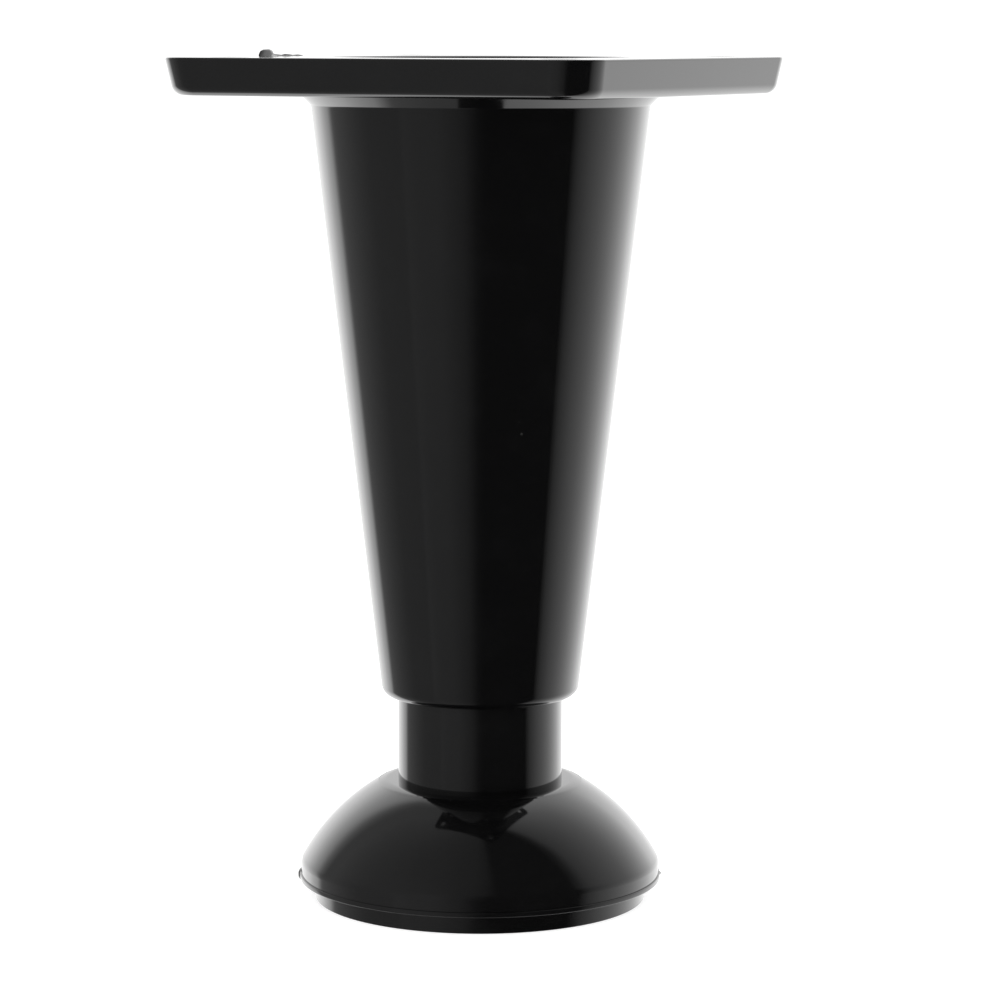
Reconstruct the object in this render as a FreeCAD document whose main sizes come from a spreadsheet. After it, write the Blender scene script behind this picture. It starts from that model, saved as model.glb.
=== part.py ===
import FreeCAD, Part

import math
import os

import Sketcher

# Adjustable leg for a cabinet: a square mounting plate with a hollow tapered body moulded under
# it, a domed foot on a threaded spindle that screws up into the body, and a glide disc snapped
# into the foot. Millimetres, +Z up, origin on the floor at the centre of the glide.

# Driving sizes: name, value, meaning
SIZES = (
    ("plate_side", "59.2", "side of the square plate at its top edge"),
    ("plate_thickness", "4.6", "thickness of the plate"),
    ("plate_corner_radius", "4.9", "radius of the plate's upright corners"),
    ("rim_draft", "10", "draft of the plate's rim in degrees"),
    ("rim_edge_radius", "1.4", "rounding under the plate's rim"),
    ("hole_inset", "7.1", "screw holes in from the plate's sides"),
    ("hole_diameter", "4.5", "screw holes in the plate"),
    ("body_height", "80.2", "from the body's lower end to the top of the plate"),
    ("neck_diameter", "42.6", "tapered body where it meets the plate"),
    ("flare", "1.6", "slant that widens the body where it meets the plate"),
    ("neck_wall", "2.7", "wall of the tapered body at its open mouth"),
    ("mouth_chamfer", "0.4", "chamfer of the open mouth"),
    ("shell_wall", "2.4", "wall of the tapered body at the cavity's floor"),
    ("end_wall", "1.9", "wall of the body at its lower end"),
    ("end_chamfer", "0.9", "chamfer round the body's lower end"),
    ("lead_in", "0.4", "chamfer at the mouth of the guide bore"),
    ("floor_thickness", "2.5", "web between guide bore and cavity"),
    ("sleeve_length", "20", "threaded sleeve above the cavity's floor"),
    ("sleeve_wall", "2.2", "wall of the threaded sleeve"),
    ("rib_thickness", "1.6", "ribs between sleeve and body"),
    ("rib_root", "1", "ribs reach this far into the cavity's floor"),
    ("rib_drop", "2", "ribs end this far below the sleeve's top"),
    ("rib_slope", "7", "ribs are this much lower at the body's wall"),
    ("collar_diameter", "20.8", "smooth collar of the foot"),
    ("exposed_collar", "10.85", "collar that shows between dome and body"),
    ("collar_seated", "11", "collar inside the guide bore"),
    ("travel_in", "9.5", "how far the foot still screws in"),
    ("stop_gap", "0.5", "room left above the collar when screwed in"),
    ("collar_wall", "2.8", "wall of the hollow collar"),
    ("collar_chamfer", "0.8", "chamfer of the collar's top edge"),
    ("shoulder_width", "1.7", "step from collar to thread crest"),
    ("thread_depth", "1.2", "height of the thread on the spindle"),
    ("spindle_length", "38", "threaded spindle above the collar"),
    ("spindle_wall", "3.3", "wall of the hollow spindle"),
    ("spindle_chamfer", "1", "chamfer of the spindle's top"),
    ("closed_end", "3", "solid web at each end of the spindle's core"),
    ("running_clearance", "0.06", "radial clearance of turning fits"),
    ("dome_height", "12.65", "from the dome's underside to the flat round the collar"),
    ("land_width", "2", "that flat, out from the collar"),
    ("foot_diameter", "45.5", "dome at its widest, without the lip"),
    ("rim_height", "2.35", "upright band round the dome's edge"),
    ("lip_proud", "0.2", "lip at the moulding's parting line"),
    ("lip_height", "0.6", "height of that lip"),
    ("dome_wall", "2.4", "wall of the dome"),
    ("dome_rib_thickness", "1.4", "ribs under the dome"),
    ("glide_diameter", "42", "glide disc under the dome"),
    ("glide_height", "2.5", "height of the glide disc"),
    ("glide_chamfer", "0.4", "chamfer of the glide's floor edge"),
    ("pin_length", "9", "hollow pin of the glide inside the collar"),
    ("pin_wall", "2", "wall of that pin"),
    ("pin_chamfer", "0.7", "chamfer of the pin's top edge"),
    ("bead_rise", "4", "height of the snap bead above the disc"),
    ("bead_height", "1.6", "height of the snap bead"),
    ("bead_proud", "0.3", "how far the snap bead stands out"),
)

RIB_COUNT = 4
DOME_RIB_COUNT = 6
SCREW_HOLE_COUNT = 4

# Radii, as expressions on the driving sizes
COLLAR_R = "(Sizes.collar_diameter / 2)"
GUIDE_R = f"({COLLAR_R} + Sizes.running_clearance)"
END_R = f"({GUIDE_R} + Sizes.end_wall)"
NECK_R = "(Sizes.neck_diameter / 2)"
MOUTH_R = f"({NECK_R} - Sizes.neck_wall)"
THREAD_R = f"({COLLAR_R} - Sizes.shoulder_width)"
THREAD_BORE_R = f"({THREAD_R} + Sizes.running_clearance)"
SLEEVE_R = f"({THREAD_BORE_R} + Sizes.sleeve_wall)"
SPINDLE_R = f"({THREAD_R} - Sizes.thread_depth)"
SPINDLE_CORE_R = f"({SPINDLE_R} - Sizes.spindle_wall)"
COLLAR_CORE_R = f"({COLLAR_R} - Sizes.collar_wall)"
LAND_R = f"({COLLAR_R} + Sizes.land_width)"
FOOT_R = "(Sizes.foot_diameter / 2)"
DOME_INNER_R = f"({FOOT_R} - Sizes.dome_wall)"
LIP_R = f"({FOOT_R} + Sizes.lip_proud)"
GLIDE_R = "(Sizes.glide_diameter / 2)"
PIN_R = f"({COLLAR_CORE_R} - Sizes.running_clearance)"
PIN_INNER_R = f"({PIN_R} - Sizes.pin_wall)"

# Levels in the leg body, up from its lower end
UNDERSIDE = "(Sizes.body_height - Sizes.plate_thickness)"
GUIDE_TOP = "(Sizes.collar_seated + Sizes.travel_in + Sizes.stop_gap)"
CAVITY_FLOOR = f"({GUIDE_TOP} + Sizes.floor_thickness)"
SLEEVE_TOP = f"({CAVITY_FLOOR} + Sizes.sleeve_length)"
RIB_TOP = f"({SLEEVE_TOP} - Sizes.rib_drop)"
RIB_OUTER_TOP = f"({RIB_TOP} - Sizes.rib_slope)"

# Levels in the foot, up from the dome's underside
COLLAR_TOP = "(Sizes.dome_height + Sizes.exposed_collar + Sizes.collar_seated)"
SPINDLE_TOP = f"({COLLAR_TOP} + Sizes.spindle_length)"

# Levels above the floor at which the foot and the leg body stand
FOOT_LEVEL = "Sizes.glide_height"
BODY_LEVEL = "Sizes.glide_height + Sizes.dome_height + Sizes.exposed_collar"

CLOSE = 1e-4

# How a sketch counts its axes and the points of an edge
H_AXIS, V_AXIS = -1, -2
START, END, CENTRE = range(1, 4)
ORIGIN = (H_AXIS, START)

doc = FreeCAD.newDocument("CabinetLeg")
sheet = doc.addObject("Spreadsheet::Sheet", "Sizes")
for row, (alias, number, meaning) in enumerate(SIZES, start=1):
    sheet.set(f"A{row}", meaning)
    sheet.set(f"B{row}", number)
    sheet.setAlias(f"B{row}", alias)
doc.recompute()


def value(expression):
    """The number that an expression gives now."""
    return float(sheet.evalExpression(expression))


def taper_radius(level):
    """Expression for the outer radius of the tapered body at a level."""
    return f"({END_R} + ({NECK_R} - {END_R}) * {level} / {UNDERSIDE})"


def wall_radius(level):
    """Expression for the middle of the tapered body's wall at a level."""
    return f"({taper_radius(level)} - Sizes.shell_wall / 2)"


def new_body(name, level):
    """An empty body whose own zero stands at the given level above the floor."""
    body = doc.addObject("PartDesign::Body", name)
    body.Label = name
    if level != "0":
        body.setExpression("Placement.Base.z", level)
    return body


def origin_part(body, role):
    """The body's own origin plane or axis."""
    return next(part for part in body.Origin.OriginFeatures if part.Role == role)


def new_sketch(body, name, role, level="0"):
    """A sketch on one of the body's origin planes, raised to a level if one is given."""
    sketch = body.newObject("Sketcher::SketchObject", name)
    sketch.AttachmentSupport = [(origin_part(body, role), "")]
    sketch.MapMode = "FlatFace"
    if level != "0":
        sketch.setExpression("AttachmentOffset.Base.z", level)
    return sketch


def domed_arc(start, end):
    """The arc from start to end whose centre lies on the vertical axis."""
    level = (end.Length ** 2 - start.Length ** 2) / (2 * (end.y - start.y))
    centre = FreeCAD.Vector(0, level, 0)
    halfway = (start + end) * 0.5 - centre
    middle = centre + halfway.normalize() * (start - centre).Length
    return Part.Arc(start, middle, end)


def hold_point(sketch, edge, point, label, across, along):
    """Bind a point's two distances from the sketch's origin to expressions."""
    for kind, suffix, axis, expression in (
        ("DistanceX", "x", V_AXIS, across),
        ("DistanceY", "y", H_AXIS, along),
    ):
        number = value(expression)
        if expression == "0":
            sketch.addConstraint(Sketcher.Constraint("PointOnObject", edge, point, axis))
            continue
        if number < 0:
            constraint = Sketcher.Constraint(kind, edge, point, *ORIGIN, -number)
            expression = f"-({expression})"
        else:
            constraint = Sketcher.Constraint(kind, *ORIGIN, edge, point, number)
        index = sketch.addConstraint(constraint)
        sketch.renameConstraint(index, f"{label}_{suffix}")
        sketch.setExpression(f"Constraints.{label}_{suffix}", expression)


def outline(body, name, corners, arcs=(), role="XZ_Plane", level="0"):
    """A closed outline through named corners; a domed arc sets out from those in arcs."""
    sketch = new_sketch(body, name, role, level)
    labels = list(corners)
    places = {
        label: FreeCAD.Vector(value(across), value(along), 0)
        for label, (across, along) in corners.items()
    }
    first_points = []
    last_points = []
    for label, follower in zip(labels, labels[1:] + labels[:1]):
        start, end = places[label], places[follower]
        if label in arcs:
            edge = sketch.addGeometry(domed_arc(start, end), False)
            turned = sketch.getPoint(edge, START).distanceToPoint(start) > CLOSE
            sketch.addConstraint(Sketcher.Constraint("PointOnObject", edge, CENTRE, V_AXIS))
        else:
            edge = sketch.addGeometry(Part.LineSegment(start, end), False)
            turned = False
        first_points.append((edge, END if turned else START))
        last_points.append((edge, START if turned else END))
    for before, after in zip(last_points, first_points[1:] + first_points[:1]):
        sketch.addConstraint(Sketcher.Constraint("Coincident", *before, *after))
    for label, (edge, point) in zip(labels, first_points):
        hold_point(sketch, edge, point, label, *corners[label])
    return sketch


def round_outline(body, name, radius, across="0", along="0", level="0"):
    """A circle on the horizontal plane at a level."""
    sketch = new_sketch(body, name, "XY_Plane", level)
    centre = FreeCAD.Vector(value(across), value(along), 0)
    circle = Part.Circle(centre, FreeCAD.Vector(0, 0, 1), value(radius))
    edge = sketch.addGeometry(circle, False)
    index = sketch.addConstraint(Sketcher.Constraint("Radius", edge, value(radius)))
    sketch.renameConstraint(index, "rim")
    sketch.setExpression("Constraints.rim", radius)
    hold_point(sketch, edge, CENTRE, "centre", across, along)
    return sketch


def finish_feature(body, feature, grows, before):
    """Recompute, and stop if the feature failed or worked in the wrong direction."""
    doc.recompute()
    after = body.Shape.Volume
    if not feature.isValid() or (after > before) != grows or abs(after - before) < CLOSE:
        raise RuntimeError(f"{body.Label}.{feature.Label}: volume {before:.3f} to {after:.3f}")
    return feature


def volume_of(body):
    """The body's volume so far, 0 before its first feature."""
    doc.recompute()
    return 0.0 if body.Shape.isNull() else body.Shape.Volume


def revolve(body, name, sketch, cut=False):
    """Turn an outline once round the vertical axis, as material or as a cut."""
    before = volume_of(body)
    feature = body.newObject("PartDesign::Groove" if cut else "PartDesign::Revolution", name)
    feature.Profile = sketch
    feature.ReferenceAxis = (sketch, ["V_Axis"])
    feature.Angle = 360
    sketch.Visibility = False
    return finish_feature(body, feature, not cut, before)


def pad(body, name, sketch, length, centred=False, downwards=False):
    """Extrude an outline up, down, or half each way if centred."""
    before = volume_of(body)
    feature = body.newObject("PartDesign::Pad", name)
    feature.Profile = sketch
    feature.SideType = "Symmetric" if centred else "One side"
    feature.Reversed = downwards
    feature.setExpression("Length", length)
    sketch.Visibility = False
    return finish_feature(body, feature, True, before)


def pocket(body, name, sketch, depth, upwards=False):
    """Cut an outline down into the body, or up into it."""
    before = volume_of(body)
    feature = body.newObject("PartDesign::Pocket", name)
    feature.Profile = sketch
    feature.Reversed = upwards
    feature.setExpression("Length", depth)
    sketch.Visibility = False
    return finish_feature(body, feature, False, before)


def polar_pattern(body, name, original, count, grows):
    """Repeat a feature evenly round the vertical axis."""
    before = volume_of(body)
    feature = body.newObject("PartDesign::PolarPattern", name)
    feature.Originals = [original]
    feature.Axis = (origin_part(body, "Z_Axis"), [""])
    feature.Angle = 360
    feature.Occurrences = count
    body.Tip = feature
    return finish_feature(body, feature, grows, before)


def draft_sides(body, name, angle, level):
    """Lean the body's upright flat sides inwards below the horizontal face at a level."""
    before = volume_of(body)
    base = body.Tip
    sides = []
    for number, face in enumerate(base.Shape.Faces, 1):
        normal = face.normalAt(0, 0)
        if abs(normal.z) < CLOSE:
            sides.append(f"Face{number}")
        elif abs(face.CenterOfMass.z - value(level)) < CLOSE:
            neutral = f"Face{number}"
    feature = body.newObject("PartDesign::Draft", name)
    feature.Base = (base, sides)
    feature.NeutralPlane = (base, [neutral])
    feature.Reversed = True
    feature.setExpression("Angle", angle)
    return finish_feature(body, feature, False, before)


def dress(body, kind, name, size, chosen, grows=False):
    """Fillet or chamfer the edges of the body that the chosen test picks."""
    before = volume_of(body)
    base = body.Tip
    names = [f"Edge{number}" for number, edge in enumerate(base.Shape.Edges, 1) if chosen(edge)]
    feature = body.newObject(f"PartDesign::{kind}", name)
    feature.Base = (base, names)
    feature.setExpression("Radius" if kind == "Fillet" else "Size", size)
    return finish_feature(body, feature, grows, before)


def circle_at(radius, level):
    """A test for circular edges of a radius round the vertical axis at a level."""

    def chosen(edge):
        curve = edge.Curve
        return (
            isinstance(curve, Part.Circle)
            and abs(curve.Radius - value(radius)) < CLOSE
            and math.hypot(curve.Center.x, curve.Center.y) < CLOSE
            and abs(curve.Center.z - value(level)) < CLOSE
        )

    return chosen


# Leg body: plate with drafted rim, tapered form, flare and end edge

leg_body = new_body("leg_body", BODY_LEVEL)

HALF_SIDE = "(Sizes.plate_side / 2)"
MINUS_HALF_SIDE = "(-Sizes.plate_side / 2)"
plate_outline = outline(
    leg_body,
    "plate_outline",
    {
        "front_left": (MINUS_HALF_SIDE, MINUS_HALF_SIDE),
        "front_right": (HALF_SIDE, MINUS_HALF_SIDE),
        "back_right": (HALF_SIDE, HALF_SIDE),
        "back_left": (MINUS_HALF_SIDE, HALF_SIDE),
    },
    role="XY_Plane",
    level="Sizes.body_height",
)
pad(leg_body, "plate", plate_outline, "Sizes.plate_thickness", downwards=True)
draft_sides(leg_body, "rim_draft", "Sizes.rim_draft", "Sizes.body_height")


def upright_corner(edge):
    """The four slanting edges where the plate's drafted sides meet."""
    from_underside = abs(edge.BoundBox.ZMin - value(UNDERSIDE)) < CLOSE
    return from_underside and edge.BoundBox.ZMax > value("Sizes.body_height") - CLOSE


def rim_lower_edge(edge):
    """The edges round the plate's underside."""
    return edge.BoundBox.ZMax < value(UNDERSIDE) + CLOSE


dress(leg_body, "Fillet", "plate_corners", "Sizes.plate_corner_radius", upright_corner)
dress(leg_body, "Fillet", "rim_rounding", "Sizes.rim_edge_radius", rim_lower_edge)

taper_outline = outline(
    leg_body,
    "taper_outline",
    {
        "axis_end": ("0", "0"),
        "lower_edge": (END_R, "0"),
        "neck": (NECK_R, UNDERSIDE),
        "axis_neck": ("0", UNDERSIDE),
    },
)
revolve(leg_body, "taper", taper_outline)

dress(leg_body, "Chamfer", "neck_flare", "Sizes.flare", circle_at(NECK_R, UNDERSIDE), grows=True)
dress(leg_body, "Chamfer", "end_edge", "Sizes.end_chamfer", circle_at(END_R, "0"))

# Leg body: cavity with the threaded sleeve standing in it, and the bores

cavity_outline = outline(
    leg_body,
    "cavity_outline",
    {
        "axis_mouth": ("0", "Sizes.body_height"),
        "axis_sleeve": ("0", SLEEVE_TOP),
        "sleeve_top": (SLEEVE_R, SLEEVE_TOP),
        "sleeve_foot": (SLEEVE_R, CAVITY_FLOOR),
        "wall_foot": (f"{taper_radius(CAVITY_FLOOR)} - Sizes.shell_wall", CAVITY_FLOOR),
        "mouth": (MOUTH_R, "Sizes.body_height"),
    },
)
revolve(leg_body, "cavity", cavity_outline, cut=True)
dress(
    leg_body,
    "Chamfer",
    "mouth_edge",
    "Sizes.mouth_chamfer",
    circle_at(MOUTH_R, "Sizes.body_height"),
)

# One rib, rooted in the sleeve and in the body's wall, and its copies
RIB_FOOT = f"({CAVITY_FLOOR} - Sizes.rib_root)"
rib_outline = outline(
    leg_body,
    "rib_outline",
    {
        "sleeve_low": (f"{SLEEVE_R} - Sizes.sleeve_wall / 2", RIB_FOOT),
        "wall_low": (wall_radius(RIB_FOOT), RIB_FOOT),
        "wall_high": (wall_radius(RIB_OUTER_TOP), RIB_OUTER_TOP),
        "sleeve_high": (f"{SLEEVE_R} - Sizes.sleeve_wall / 2", RIB_TOP),
    },
)
rib = pad(leg_body, "rib", rib_outline, "Sizes.rib_thickness", centred=True)
polar_pattern(leg_body, "ribs", rib, RIB_COUNT, grows=True)

guide_outline = round_outline(leg_body, "guide_outline", GUIDE_R)
pocket(leg_body, "guide_bore", guide_outline, GUIDE_TOP, upwards=True)
dress(leg_body, "Chamfer", "guide_lead_in", "Sizes.lead_in", circle_at(GUIDE_R, "0"))

thread_outline = round_outline(leg_body, "thread_outline", THREAD_BORE_R, level=SLEEVE_TOP)
pocket(leg_body, "thread_bore", thread_outline, f"{SLEEVE_TOP} - {GUIDE_TOP}")

HOLE_PLACE = f"({HALF_SIDE} - Sizes.hole_inset)"
hole_outline = round_outline(
    leg_body,
    "hole_outline",
    "Sizes.hole_diameter / 2",
    across=HOLE_PLACE,
    along=HOLE_PLACE,
    level="Sizes.body_height",
)
screw_hole = pocket(leg_body, "screw_hole", hole_outline, "Sizes.plate_thickness")
polar_pattern(leg_body, "screw_holes", screw_hole, SCREW_HOLE_COUNT, grows=False)

# Adjuster foot: dome, collar and spindle in one outline

adjuster_foot = new_body("adjuster_foot", FOOT_LEVEL)

foot_outline = outline(
    adjuster_foot,
    "foot_outline",
    {
        "axis_base": ("0", "0"),
        "lip_low": (LIP_R, "0"),
        "lip_high": (LIP_R, "Sizes.lip_height"),
        "band_low": (FOOT_R, "Sizes.lip_height"),
        "band_high": (FOOT_R, "Sizes.rim_height"),
        "land_edge": (LAND_R, "Sizes.dome_height"),
        "collar_foot": (COLLAR_R, "Sizes.dome_height"),
        "collar_top": (COLLAR_R, COLLAR_TOP),
        "shoulder": (SPINDLE_R, COLLAR_TOP),
        "spindle_top": (SPINDLE_R, SPINDLE_TOP),
        "axis_top": ("0", SPINDLE_TOP),
    },
    arcs=("band_high",),
)
revolve(adjuster_foot, "foot_form", foot_outline)
dress(
    adjuster_foot,
    "Chamfer",
    "collar_edge",
    "Sizes.collar_chamfer",
    circle_at(COLLAR_R, COLLAR_TOP),
)
dress(
    adjuster_foot,
    "Chamfer",
    "spindle_edge",
    "Sizes.spindle_chamfer",
    circle_at(SPINDLE_R, SPINDLE_TOP),
)

# Adjuster foot: hollow core, from below
core_outline = outline(
    adjuster_foot,
    "core_outline",
    {
        "axis_base": ("0", "0"),
        "collar_core_low": (COLLAR_CORE_R, "0"),
        "collar_core_high": (COLLAR_CORE_R, f"{COLLAR_TOP} - Sizes.closed_end"),
        "spindle_core_low": (SPINDLE_CORE_R, f"{COLLAR_TOP} - Sizes.closed_end"),
        "spindle_core_high": (SPINDLE_CORE_R, f"{SPINDLE_TOP} - Sizes.closed_end"),
        "axis_end": ("0", f"{SPINDLE_TOP} - Sizes.closed_end"),
    },
)
revolve(adjuster_foot, "core", core_outline, cut=True)

# Groove in the core that the glide's bead snaps into
BEAD_TOP = "(Sizes.bead_rise + Sizes.bead_height)"
BEAD_MIDDLE = "(Sizes.bead_rise + Sizes.bead_height / 2)"
snap_outline = outline(
    adjuster_foot,
    "snap_outline",
    {
        "low": (f"{COLLAR_CORE_R} - Sizes.running_clearance", "Sizes.bead_rise"),
        "deep": (f"{COLLAR_CORE_R} + Sizes.bead_proud", BEAD_MIDDLE),
        "high": (f"{COLLAR_CORE_R} - Sizes.running_clearance", BEAD_TOP),
    },
)
revolve(adjuster_foot, "snap_groove", snap_outline, cut=True)

# Adjuster foot: hollow under the dome, round the central tube, with radial ribs
hollow_outline = outline(
    adjuster_foot,
    "hollow_outline",
    {
        "tube_low": (COLLAR_R, "0"),
        "skirt_low": (DOME_INNER_R, "0"),
        "skirt_high": (DOME_INNER_R, "Sizes.rim_height"),
        "tube_high": (COLLAR_R, "Sizes.dome_height - Sizes.dome_wall"),
    },
)
revolve(adjuster_foot, "dome_hollow", hollow_outline, cut=True)

dome_rib_outline = outline(
    adjuster_foot,
    "dome_rib_outline",
    {
        "tube_low": (f"{COLLAR_R} - Sizes.collar_wall / 2", "0"),
        "skirt_low": (f"{DOME_INNER_R} + Sizes.dome_wall / 2", "0"),
        "skirt_high": (f"{DOME_INNER_R} + Sizes.dome_wall / 2", "Sizes.rim_height"),
        "tube_high": (
            f"{COLLAR_R} - Sizes.collar_wall / 2",
            "Sizes.dome_height - Sizes.dome_wall / 2",
        ),
    },
)
dome_rib = pad(
    adjuster_foot,
    "dome_rib",
    dome_rib_outline,
    "Sizes.dome_rib_thickness",
    centred=True,
)
polar_pattern(adjuster_foot, "dome_ribs", dome_rib, DOME_RIB_COUNT, grows=True)

# Base glide: disc with a hollow pin that turns in the foot's collar

base_glide = new_body("base_glide", "0")

glide_outline = outline(
    base_glide,
    "glide_outline",
    {
        "axis_floor": ("0", "0"),
        "edge_low": (GLIDE_R, "0"),
        "edge_high": (GLIDE_R, "Sizes.glide_height"),
        "pin_foot": (PIN_R, "Sizes.glide_height"),
        "pin_top": (PIN_R, "Sizes.glide_height + Sizes.pin_length"),
        "pin_inner_top": (PIN_INNER_R, "Sizes.glide_height + Sizes.pin_length"),
        "pin_inner_foot": (PIN_INNER_R, "Sizes.glide_height"),
        "axis_disc": ("0", "Sizes.glide_height"),
    },
)
revolve(base_glide, "disc_and_pin", glide_outline)
dress(base_glide, "Chamfer", "floor_edge", "Sizes.glide_chamfer", circle_at(GLIDE_R, "0"))
dress(
    base_glide,
    "Chamfer",
    "pin_edge",
    "Sizes.pin_chamfer",
    circle_at(PIN_R, "Sizes.glide_height + Sizes.pin_length"),
)
bead_outline = outline(
    base_glide,
    "bead_outline",
    {
        "low": (f"{PIN_R} - Sizes.pin_wall / 2", f"Sizes.glide_height + {BEAD_MIDDLE}"),
        "root_low": (PIN_R, "Sizes.glide_height + Sizes.bead_rise"),
        "crest": (f"{PIN_R} + Sizes.bead_proud", f"Sizes.glide_height + {BEAD_MIDDLE}"),
        "root_high": (PIN_R, f"Sizes.glide_height + {BEAD_TOP}"),
    },
)
revolve(base_glide, "snap_bead", bead_outline)

# Every object and every sub-part is sound before anything is written

doc.recompute()
for item in doc.Objects:
    if "Invalid" in item.State or "Error" in item.State:
        raise RuntimeError(f"{item.Name} failed: {item.State}")

os.makedirs("parts", exist_ok=True)
pieces = (leg_body, adjuster_foot, base_glide)
for piece in pieces:
    shape = piece.Shape
    if shape.isNull() or not shape.isValid() or len(shape.Solids) != 1:
        raise RuntimeError(f"{piece.Label} is not one sound solid")
for piece in pieces:
    piece.Shape.exportStep(f"parts/{piece.Label}.step")
    box = piece.Shape.BoundBox
    print(
        f"{piece.Label}: {piece.Shape.Volume / 1000:.2f} cm3, "
        f"x {box.XMin:.2f} to {box.XMax:.2f}, z {box.ZMin:.2f} to {box.ZMax:.2f}"
    )
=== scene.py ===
# %% [markdown]
# # An adjustable cabinet leg in gloss black plastic
#
# The real leg is three injection mouldings: a square plate with a hollow tapered body under it, a
# domed foot whose threaded spindle screws up into that body, and a glide disc snapped into the
# foot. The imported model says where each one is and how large. Here each gets the smooth skin,
# rounded edges and gloss that a moulding has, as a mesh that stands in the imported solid's place.

# %% Loading the frame
import math

import bmesh
import bpy
from mathutils import Euler, Matrix, Vector


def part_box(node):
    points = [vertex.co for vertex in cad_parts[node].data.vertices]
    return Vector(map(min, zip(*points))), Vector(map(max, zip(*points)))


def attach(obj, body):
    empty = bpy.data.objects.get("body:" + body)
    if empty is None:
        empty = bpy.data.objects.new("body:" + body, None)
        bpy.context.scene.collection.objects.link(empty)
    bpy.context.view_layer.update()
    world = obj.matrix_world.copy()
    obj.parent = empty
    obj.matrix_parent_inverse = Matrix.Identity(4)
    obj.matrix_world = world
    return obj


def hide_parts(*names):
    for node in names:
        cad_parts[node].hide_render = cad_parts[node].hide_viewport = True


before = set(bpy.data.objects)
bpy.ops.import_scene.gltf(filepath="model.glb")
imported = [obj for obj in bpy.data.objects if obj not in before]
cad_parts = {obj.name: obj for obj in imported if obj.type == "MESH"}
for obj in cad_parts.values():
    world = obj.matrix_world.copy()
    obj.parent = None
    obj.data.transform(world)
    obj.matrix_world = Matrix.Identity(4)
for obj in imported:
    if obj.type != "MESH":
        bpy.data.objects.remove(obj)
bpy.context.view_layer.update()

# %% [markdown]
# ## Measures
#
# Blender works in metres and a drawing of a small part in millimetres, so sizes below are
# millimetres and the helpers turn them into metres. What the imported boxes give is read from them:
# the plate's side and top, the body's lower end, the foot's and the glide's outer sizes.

MM = 0.001


def box_in_mm(node):
    """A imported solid's lowest and highest corner, in millimetres."""
    low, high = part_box(node)
    return low / MM, high / MM


leg_low, leg_high = box_in_mm("leg_body")
foot_low, foot_high = box_in_mm("adjuster_foot")
glide_low, glide_high = box_in_mm("base_glide")

PLATE_TOP = leg_high.z
PLATE_HALF = leg_high.x
BODY_END = leg_low.z
SPINDLE_TOP = foot_high.z
LIP_RADIUS = foot_high.x
FOOT_FLOOR = foot_low.z
GLIDE_RADIUS = glide_high.x
PIN_TOP = glide_high.z
print(f"plate {2 * PLATE_HALF:.1f} mm square, its top at {PLATE_TOP:.1f} mm")
print(f"body ends at {BODY_END:.1f} mm, foot {2 * LIP_RADIUS:.1f} mm wide at {FOOT_FLOOR:.1f} mm")

# %% [markdown]
# ## Turning round forms
#
# All three mouldings are mostly round. A lathe shape can be spun from a profile, or grown from a
# circle: extrude its edge ring, scale it, and go on to the next station. Growing is used here,
# because each station is one radius and one level, as they stand on a drawing, and the ring can
# be rounded afterwards with the bevel operator where the mould has a rounded edge.

# %% Growing a ring of edges
AROUND = 240
CLOSE = 1e-6


def clear_selection():
    """Nothing selected, so that the next operator acts on its own piece alone."""
    bpy.ops.object.select_all(action="DESELECT")


def start_ring(name, radius, level, around=AROUND, centre=(0, 0)):
    """A new circle of edges at a level, in edit mode, with the whole ring selected."""
    clear_selection()
    place = (centre[0] * MM, centre[1] * MM, level * MM)
    bpy.ops.mesh.primitive_circle_add(vertices=around, radius=radius * MM, location=place)
    piece = bpy.context.object
    piece.name = name
    piece.data.name = name
    bpy.ops.object.transform_apply(location=True, rotation=False, scale=False)
    bpy.ops.object.mode_set(mode="EDIT")
    bpy.ops.mesh.select_mode(type="EDGE")
    bpy.ops.mesh.select_all(action="SELECT")
    return piece


def grow(stations, centre=(0, 0)):
    """Extrude and scale the selected ring on through stations of radius and level."""
    pivot = (centre[0] * MM, centre[1] * MM, 0)
    for (radius, level), (next_radius, next_level) in zip(stations, stations[1:]):
        rise = (next_level - level) * MM
        bpy.ops.mesh.extrude_edges_move(TRANSFORM_OT_translate={"value": (0, 0, rise)})
        ratio = next_radius / radius
        bpy.ops.transform.resize(value=(ratio, ratio, 1), center_override=pivot)


def select_edges(piece, chosen):
    """Select the edges that the test picks, and return how many there are."""
    mesh = bmesh.from_edit_mesh(piece.data)
    bpy.ops.mesh.select_all(action="DESELECT")
    picked = [edge for edge in mesh.edges if chosen(edge)]
    for edge in picked:
        edge.select_set(True)
    mesh.select_flush_mode()
    bmesh.update_edit_mesh(piece.data)
    return len(picked)


def ring_at(radius, level):
    """A test for the edges of one ring round the leg's axis."""

    def chosen(edge):
        return all(
            abs(point.co.xy.length - radius * MM) < CLOSE and abs(point.co.z - level * MM) < CLOSE
            for point in edge.verts
        )

    return chosen


def round_ring(piece, radius, level, rounding, turn_degrees=90, steps=8):
    """Round a ring's corner, which turns by so many degrees, to a radius."""
    found = select_edges(piece, ring_at(radius, level))
    reach = rounding * math.tan(math.radians(turn_degrees / 2))
    bpy.ops.mesh.bevel(offset=reach * MM, segments=steps, profile=0.5, affect="EDGES")
    print(f"{piece.name}: rounded {found} edges at {radius:.2f}, {level:.2f} mm")


def close_piece(piece, smooth_degrees=32):
    """Leave edit mode with outward faces, smooth where the form is round and crisp elsewhere."""
    bpy.ops.mesh.select_all(action="SELECT")
    bpy.ops.mesh.remove_doubles(threshold=CLOSE)
    bpy.ops.mesh.normals_make_consistent(inside=False)
    bpy.ops.object.mode_set(mode="OBJECT")
    bpy.ops.object.shade_smooth_by_angle(angle=math.radians(smooth_degrees))


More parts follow.
